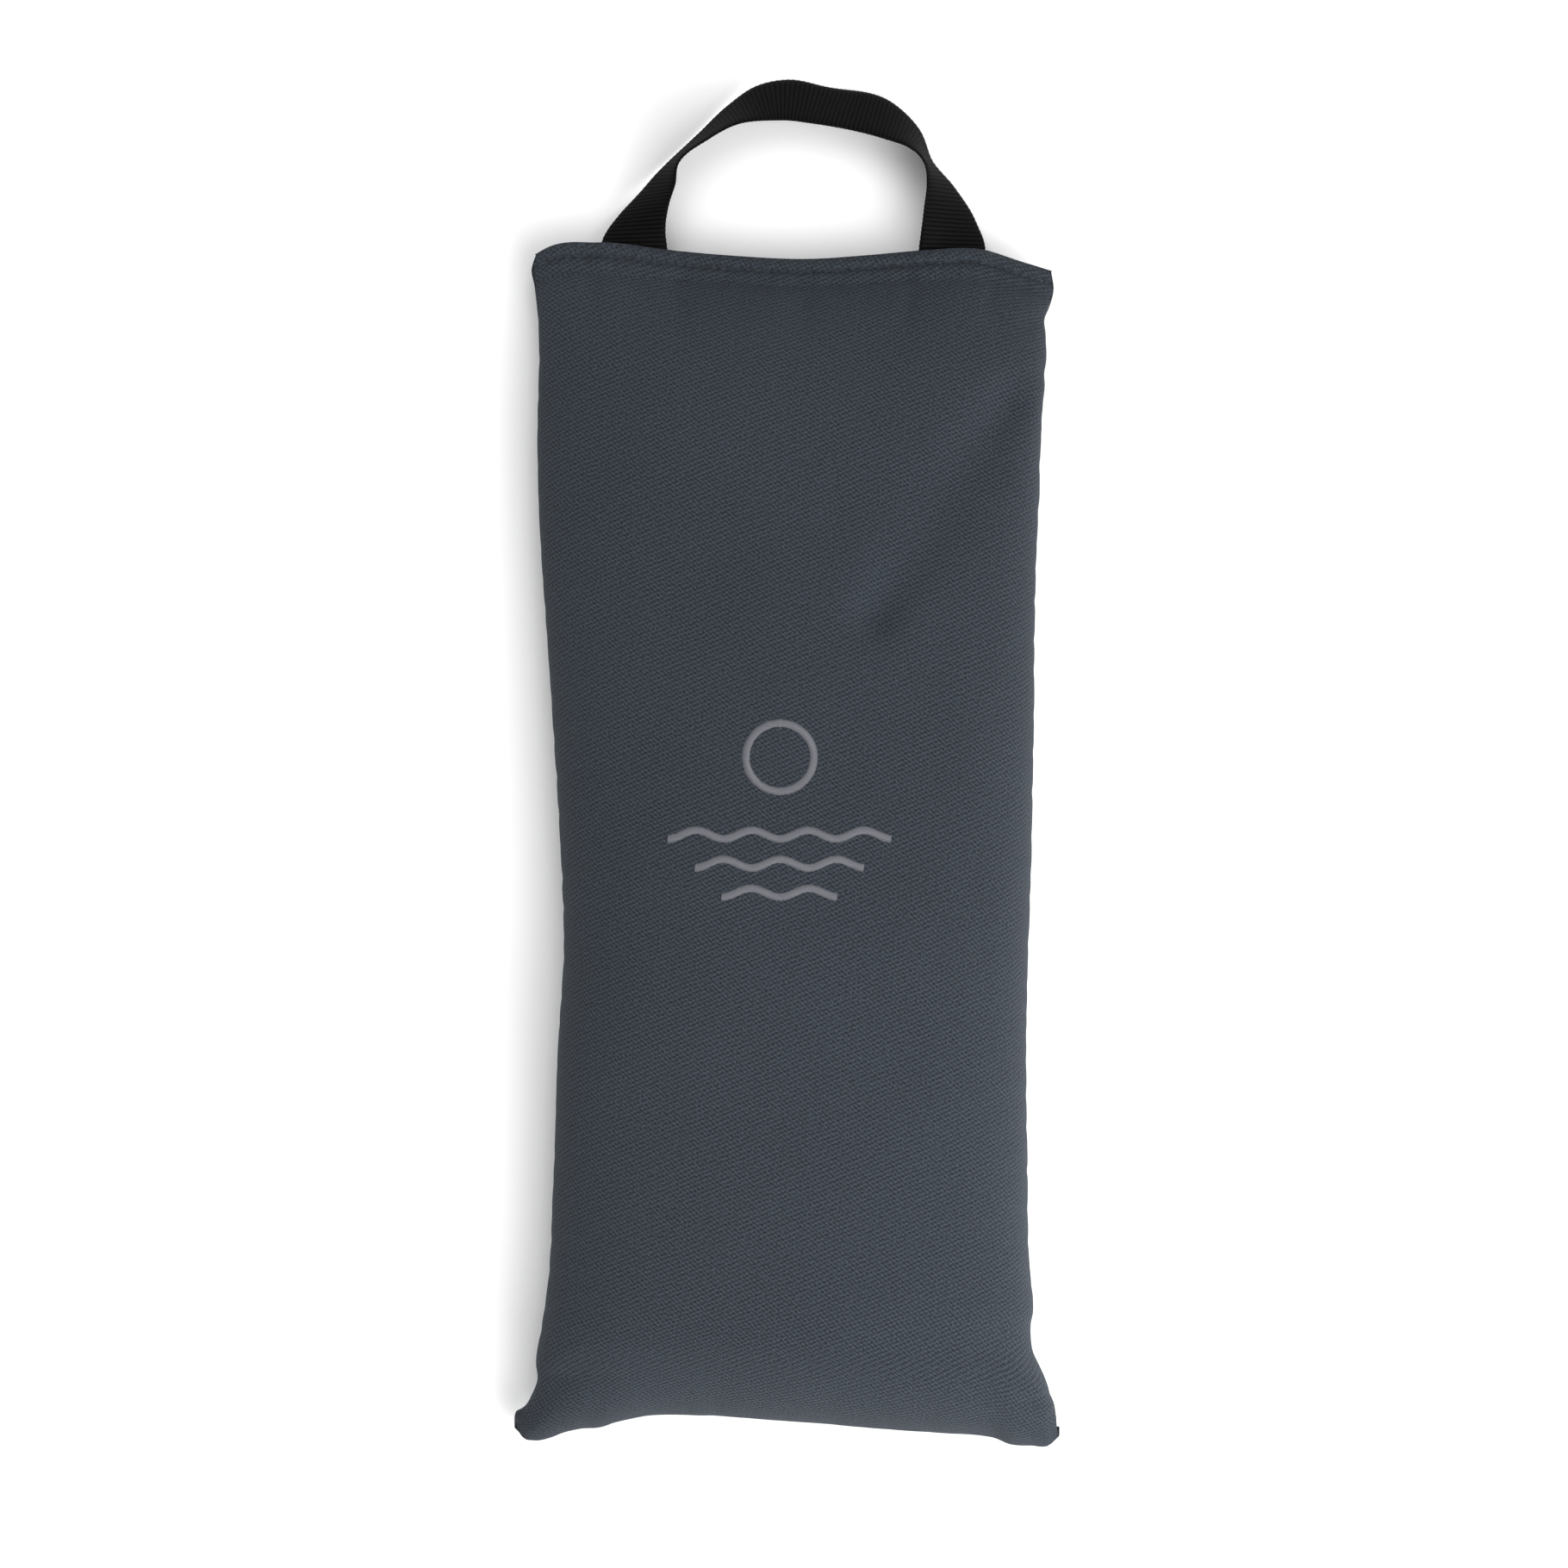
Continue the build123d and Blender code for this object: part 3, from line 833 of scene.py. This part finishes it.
# Distance between the front's and the back's places on the flat webbing.
FLAT_APART = 100
# The webbing's middle line: x, reach beyond the top edge, height, tilt and the way it runs.
HANDLE_LINE = [
    (-58.4, 6, 13, 24, 90), (-57.8, 8.2, 13, 30, 90), (-55.4, 13.8, 13.2, 42, 91), (-49.1, 24, 13, 62, 83),
    (-44.6, 31.8, 13.2, 77, 58), (-33.1, 42, 13, 75, 39), (-22.1, 50, 12.6, 65, 26),
    (-10.6, 54.6, 11.8, 50, 14), (-2.3, 55.6, 11.6, 46, -3), (9.2, 53.8, 11.6, 48, -16),
    (35.5, 47.6, 12, 51, -16), (44.4, 41.4, 12.8, 65, -26), (49.6, 32.9, 13.2, 79, -58),
    (54.3, 24.2, 13, 65, -83), (57, 14.6, 13.1, 44, -88), (58.1, 8.2, 13, 30, -90), (58.4, 6, 13, 24, -90),
]


def handle_route(count):
    """The webbing's whole middle line, with its two tucked ends: distance along it, place, the way
    across the webbing and the way out of its face, at count + 1 points."""
    tucked = [(-ROOT, TUCKED_Y - TOP_Y, SEAM_HEIGHT, 0, 90), (-ROOT, -4, SEAM_HEIGHT, 0, 90)]
    ending = [(-x, reach, z, tilt, -turn) for x, reach, z, tilt, turn in reversed(tucked)]
    line = np.array(tucked + HANDLE_LINE + ending, float)
    places = np.concatenate([[0], np.cumsum(np.linalg.norm(np.diff(line[:, :3], axis=0), axis=1))])
    s = np.linspace(0, places[-1], count(places[-1]) + 1)
    x, reach, z, tilt, turn = (through(list(zip(places, line[:, k])), s) for k in range(5))
    tilt, turn = np.radians(tilt)[:, None], np.radians(turn)
    outward = np.stack([-np.sin(turn), np.cos(turn), 0 * s], 1)
    up = np.array([0, 0, 1.0])
    across = outward * np.cos(tilt) - up * np.sin(tilt)
    face = outward * np.sin(tilt) + up * np.cos(tilt)
    return s, np.stack([x + HANDLE_SHIFT, TOP_Y + reach, z], 1), across, face


class SANDBAG_OT_handle(bpy.types.Operator):
    """Makes the ribbed webbing handle in one length, with its two ends tucked into the hem"""

    bl_idname = "sandbag.handle"
    bl_label = "Webbing handle"

    def execute(self, context):
        webbing = settings("sandbag_webbing")
        wide, thick, pitch = (v / MM for v in (webbing.width, webbing.thickness, webbing.rib_pitch))
        per_rib = 6
        s, middle, across, face = handle_route(lambda total: int(round(total / pitch)) * per_rib)
        rib = np.abs(np.sin(math.pi * s / pitch)) ** RIB_ROUNDNESS
        rib *= smoothstep(np.minimum(s, s[-1] - s))
        spread = np.linspace(1, -1, ACROSS_POINTS)
        outline = [(a, 1) for a in spread] + [(a, -1) for a in spread[::-1]]
        points, flat = [], []
        for k in range(len(s)):
            half = thick / 2 * (GROOVE_SHARE + (1 - GROOVE_SHARE) * rib[k])
            for a, b in outline:
                edge = max((1 - min(abs(a), 1) ** 6) ** 0.5, EDGE_SHARE)
                reach_out = a * (wide / 2 - GROOVE_INSET * (1 - rib[k]))
                points.append(middle[k] + across[k] * reach_out + face[k] * b * half * edge)
                flat.append((a * wide / 2 + b * FLAT_APART, s[k]))
        size = len(outline)
        faces = []
        for k in range(len(s) - 1):
            for j in range(size):
                n = (j + 1) % size
                faces.append((k * size + j, k * size + n, (k + 1) * size + n, (k + 1) * size + j))
        faces.append(tuple(range(size))[::-1])
        faces.append(tuple((len(s) - 1) * size + j for j in range(size)))
        obj = mesh_object("webbing_handle_band", np.array(points) * MM, faces, np.array(flat) * MM)
        fix_normals(obj)
        smooth(obj, webbing_material())
        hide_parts("handle_webbing", "handle_end_left", "handle_end_right")
        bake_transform(obj)
        return {"FINISHED"}


# Embroidery

MOTIF_MIDDLE = (-2.5, -17.0)
RING_RADIUS_SHARE = 0.21
WAVE_HEIGHT, WAVE_ROW_GAP = 1.6, 10.5
WAVE_ROW_SHARES = (0.52, 0.76, 1.0)
FIRST_ROW_WAVES = 2
# The ring's last stitches lie over its first.
RING_OVERLAP = 0.05
SATIN_PITCH, QUICK_PITCH = 0.42, 0.9
SATIN_SLANT, SATIN_UNEVEN = 0.12, 0.12
BACKING_MARGIN, BACKING_DEPTH = 6.0, 0.62
BACKING_GRID = (33, 27)
INNER_SHEET = 0.25


def motif_lines():
    """Middle lines of the embroidery: a plain ring above three rows of waves."""
    stitching = settings("sandbag_stitching")
    wide, high, line = (v / MM for v in (stitching.motif_width, stitching.motif_height, stitching.motif_line))
    outer = RING_RADIUS_SHARE * high
    turn = np.linspace(0, 2 * math.pi + RING_OVERLAP, 120)
    ring = np.stack([np.sin(turn), np.cos(turn)], 1) * (outer - line / 2) + [0, high / 2 - outer]
    lines = [ring]
    for row, share in enumerate(WAVE_ROW_SHARES):
        half = share * (wide - line) / 2
        x = np.linspace(-half, half, 160)
        base = -high / 2 + WAVE_HEIGHT + line / 2 + WAVE_ROW_GAP * row
        turns = math.pi * (FIRST_ROW_WAVES + row)
        lines.append(np.stack([x, base - WAVE_HEIGHT * np.cos(turns * (x + half) / half)], 1))
    return [line + np.array(MOTIF_MIDDLE) for line in lines]


class SANDBAG_OT_embroidery(bpy.types.Operator):
    """Makes the satin-stitched ring and waves on the front panel, and the backing sheet behind them"""

    bl_idname = "sandbag.embroidery"
    bl_label = "Embroidery"

    def execute(self, context):
        stitching = settings("sandbag_stitching")
        half = stitching.motif_line / MM / 2
        tree = surface_tree(bpy.data.objects["twill_front_panel"])
        rng = np.random.default_rng(5)
        stitches = []
        pitch = SATIN_PITCH
        for line in motif_lines():
            for (ax, ay), (bx, by) in along_line(line, pitch, 0.3):
                run = np.array([bx - ax, by - ay]) / math.hypot(bx - ax, by - ay)
                cross = np.array([-run[1], run[0]]) + run * SATIN_SLANT
                reach = half + rng.uniform(-SATIN_UNEVEN, SATIN_UNEVEN)
                ends = [np.array([ax, ay]) + cross * reach * k for k in (-1, 1)]
                first, up = on_surface(tree, *ends[0], FRONT)
                second, _ = on_surface(tree, *ends[1], FRONT)
                stitches.append((first, second, up))
        thread = thread_material("rayon_embroidery_thread", tuple(stitching.motif_colour), 0.9)
        obj = bars("embroidered_waves", stitches, 0.52, 0.42, thread)
        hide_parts("embroidery_stitches")
        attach(obj, "bag")

        wide = stitching.motif_width / MM + 2 * BACKING_MARGIN
        high = stitching.motif_height / MM + 2 * BACKING_MARGIN
        columns, rows = BACKING_GRID
        points, flat = [], []
        for y in np.linspace(-high / 2, high / 2, rows):
            for x in np.linspace(-wide / 2, wide / 2, columns):
                place, up = on_surface(tree, x + MOTIF_MIDDLE[0], y + MOTIF_MIDDLE[1], FRONT)
                points.append(place - up * BACKING_DEPTH)
                flat.append((x, y))
        backing = mesh_object("tear_away_backing", np.array(points) * MM, grid_faces(columns, rows),
                              np.array(flat) * MM)
        finish_with(backing, "SOLIDIFY", thickness=INNER_SHEET * MM, offset=-1)
        smooth(backing, sheet_material("backing_felt_nonwoven", linear("e4e2dc"), 0.4))
        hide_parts("embroidery_backing")
        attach(backing, "bag")
        return {"FINISHED"}


# Liner and sand

LINER_TOP, LINER_BOTTOM = 153.0, -236.0
LINER_ROUND, LINER_LOW_ROUND = 60.0, 20.0
# How far the liner and the sand lie inside the cover's outer face.
LINER_DEPTH, SAND_DEPTH = 1.4, 2.1
# The liner and the sand narrow by this share below this place, clear of the cover's corners.
CORNER_SHARE, CORNER_START, CORNER_LENGTH = 0.08, -212.0, 28.0
INNER_RIM = 0.12


def inner_shape(side, depth, top):
    """The cover's shape moved inwards by depth, ending at top, where it closes in the seam plane."""
    points, _ = bag_cloth(side)
    points = points[::2, ::2]
    inside = points - face_normals(points, side) * depth
    inside[..., 0] *= 1 - CORNER_SHARE * smoothstep((CORNER_START - inside[..., 1]) / CORNER_LENGTH)
    middle = bag_cloth(FRONT)[0][::2, points.shape[1], 1]
    kept = (middle > LINER_BOTTOM) & (middle < top)
    inside, middle = inside[kept], middle[kept]
    high = np.clip((top - middle) / LINER_ROUND, 0, 1)
    low = np.clip((middle - LINER_BOTTOM) / LINER_LOW_ROUND, 0, 1)
    fullness = (np.sqrt(1 - (1 - high) ** 2) * np.sqrt(1 - (1 - low) ** 2))[:, None]
    rise = np.maximum(side * (inside[..., 2] - SEAM_HEIGHT) * fullness, INNER_RIM)
    rise[[0, -1]] = INNER_RIM
    rise[:, [0, -1]] = INNER_RIM
    inside[..., 2] = SEAM_HEIGHT + side * rise
    return inside


class SANDBAG_OT_liner(bpy.types.Operator):
    """Makes the sewn liner that holds the sand, with its seam stitches and its closing row"""

    bl_idname = "sandbag.liner"
    bl_label = "Liner"

    def execute(self, context):
        material = sheet_material("liner_cloth_woven_polypropylene", linear("d5d6d2"), 1.2)
        for name, side, node in (
            ("liner_front", FRONT, "liner_front_sheet"), ("liner_back", BACK, "liner_back_sheet"),
        ):
            points = inner_shape(side, LINER_DEPTH, LINER_TOP)
            rows, columns = points.shape[:2]
            faces = grid_faces(columns, rows, flip=side == BACK)
            obj = mesh_object(name, points.reshape(-1, 3) * MM, faces)
            finish_with(obj, "SOLIDIFY", thickness=INNER_SHEET * MM, offset=-1)
            smooth(obj, material)
            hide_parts(node)
            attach(obj, "bag")
        rim = inner_shape(FRONT, LINER_DEPTH, LINER_TOP)
        thread = new_thread("liner_thread_polyester", "c9cac6", 0.3)
        around = np.concatenate([rim[::-1, 0], rim[0, 1:], rim[1:, -1]])
        around[:, 2] = SEAM_HEIGHT
        closing = rim[-1].copy()
        closing[:, 2] = SEAM_HEIGHT
        for name, line, node in (
            ("liner_side_stitches", around, "liner_seam_thread"),
            ("liner_closing_row", closing, "liner_closing_stitches"),
        ):
            pairs = along_line(line, LINER_PITCH, LINER_STITCH)
            obj = bars(name, [(a, b, (0, 0, 1)) for a, b in pairs], 0.25, 0.2, thread)
            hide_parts(node)
            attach(obj, "bag")
        return {"FINISHED"}


class SANDBAG_OT_sand(bpy.types.Operator):
    """Makes the body of dry sand that fills the liner"""

    bl_idname = "sandbag.sand"
    bl_label = "Sand"

    def execute(self, context):
        front, back = (inner_shape(side, SAND_DEPTH, LINER_TOP - 1) for side in (FRONT, BACK))
        rows, columns = front.shape[:2]
        points = np.concatenate([front.reshape(-1, 3), back.reshape(-1, 3)])
        low = rows * columns
        faces = grid_faces(columns, rows) + grid_faces(columns, rows, offset=low, flip=True)
        rim = list(range(columns)) + [r * columns + columns - 1 for r in range(1, rows)]
        rim += [(rows - 1) * columns + c for c in range(columns - 2, -1, -1)]
        rim += [r * columns for r in range(rows - 2, 0, -1)]
        for a, b in zip(rim, rim[1:] + rim[:1]):
            faces.append((a, low + a, low + b, b))
        obj = mesh_object("sand_body", points * MM, faces)
        fix_normals(obj)
        smooth(obj, sand_material())
        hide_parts("sand_fill")
        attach(obj, "bag")
        return {"FINISHED"}


# Stage

class SANDBAG_OT_stage(bpy.types.Operator):
    """Sets the pale floor, the soft lights and the camera looking straight down"""

    bl_idname = "sandbag.stage"
    bl_label = "Stage"

    def execute(self, context):
        scene = context.scene
        bpy.ops.mesh.primitive_plane_add(size=8)
        floor = context.active_object
        floor.name = "pale_floor"
        material, _, shader = new_material("studio_floor_paper")
        shader.inputs["Base Color"].default_value = linear("f6f6f6")
        shader.inputs["Roughness"].default_value = 0.9
        floor.data.materials.append(material)
        for name, place, size, power in (
            ("soft_key", (0.75, -0.55, 1.05), 1.5, 15),
            ("soft_low", (0.42, -0.42, 0.42), 0.6, 4.6),
            ("soft_top", (-0.1, 0.9, 1.5), 1.0, 10),
        ):
            bpy.ops.object.light_add(type="AREA", location=place)
            light = context.active_object
            light.name = name
            light.data.size = size
            light.data.energy = power
            aim = Vector((0, 0, 0.02)) - Vector(place)
            light.rotation_euler = aim.to_track_quat("-Z", "Y").to_euler()
        world = bpy.data.worlds.new("studio_air")
        scene.world = world
        world.use_nodes = True
        air = world.node_tree.nodes["Background"]
        air.inputs["Color"].default_value = (1, 1, 1, 1)
        air.inputs["Strength"].default_value = 0.6
        bpy.ops.object.camera_add(location=(-1.0 * MM, -7.6 * MM, 1.812), rotation=(0, 0, 0))
        camera = context.active_object
        camera.name = "camera_above"
        camera.data.sensor_width = 36
        camera.data.lens = 112
        camera.data.clip_start = 0.05
        camera.data.dof.use_dof = False
        scene.camera = camera
        scene.view_settings.view_transform = "Standard"
        return {"FINISHED"}


class SANDBAG_PT_panel(bpy.types.Panel):
    """The sandbag's sidebar panel"""

    bl_label = "Sandbag"
    bl_space_type = "VIEW_3D"
    bl_region_type = "UI"
    bl_category = "Sandbag"

    def draw(self, context):
        layout = self.layout
        for name in GROUPS:
            box = layout.box()
            group = getattr(context.scene, name)
            for field in group.__annotations__:
                box.prop(group, field)
        for operator in OPERATORS:
            layout.operator(operator.bl_idname)


GROUPS = {
    "sandbag_cover": CoverSettings,
    "sandbag_webbing": WebbingSettings,
    "sandbag_stitching": StitchSettings,
}
OPERATORS = (
    SANDBAG_OT_cover,
    SANDBAG_OT_seam_threads,
    SANDBAG_OT_topstitch,
    SANDBAG_OT_handle,
    SANDBAG_OT_embroidery,
    SANDBAG_OT_liner,
    SANDBAG_OT_sand,
    SANDBAG_OT_stage,
)


def register():
    for group in GROUPS.values():
        bpy.utils.register_class(group)
    for operator in OPERATORS:
        bpy.utils.register_class(operator)
    bpy.utils.register_class(SANDBAG_PT_panel)
    for name, group in GROUPS.items():
        setattr(bpy.types.Scene, name, PointerProperty(type=group))


def unregister():
    for name in GROUPS:
        delattr(bpy.types.Scene, name)
    bpy.utils.unregister_class(SANDBAG_PT_panel)
    for operator in reversed(OPERATORS):
        bpy.utils.unregister_class(operator)
    for group in GROUPS.values():
        bpy.utils.unregister_class(group)


def main():
    register()
    bpy.ops.sandbag.cover()
    bpy.ops.sandbag.seam_threads()
    bpy.ops.sandbag.topstitch()
    bpy.ops.sandbag.handle()
    bpy.ops.sandbag.embroidery()
    bpy.ops.sandbag.liner()
    bpy.ops.sandbag.sand()
    bpy.ops.sandbag.stage()


if __name__ == "__main__":
    main()
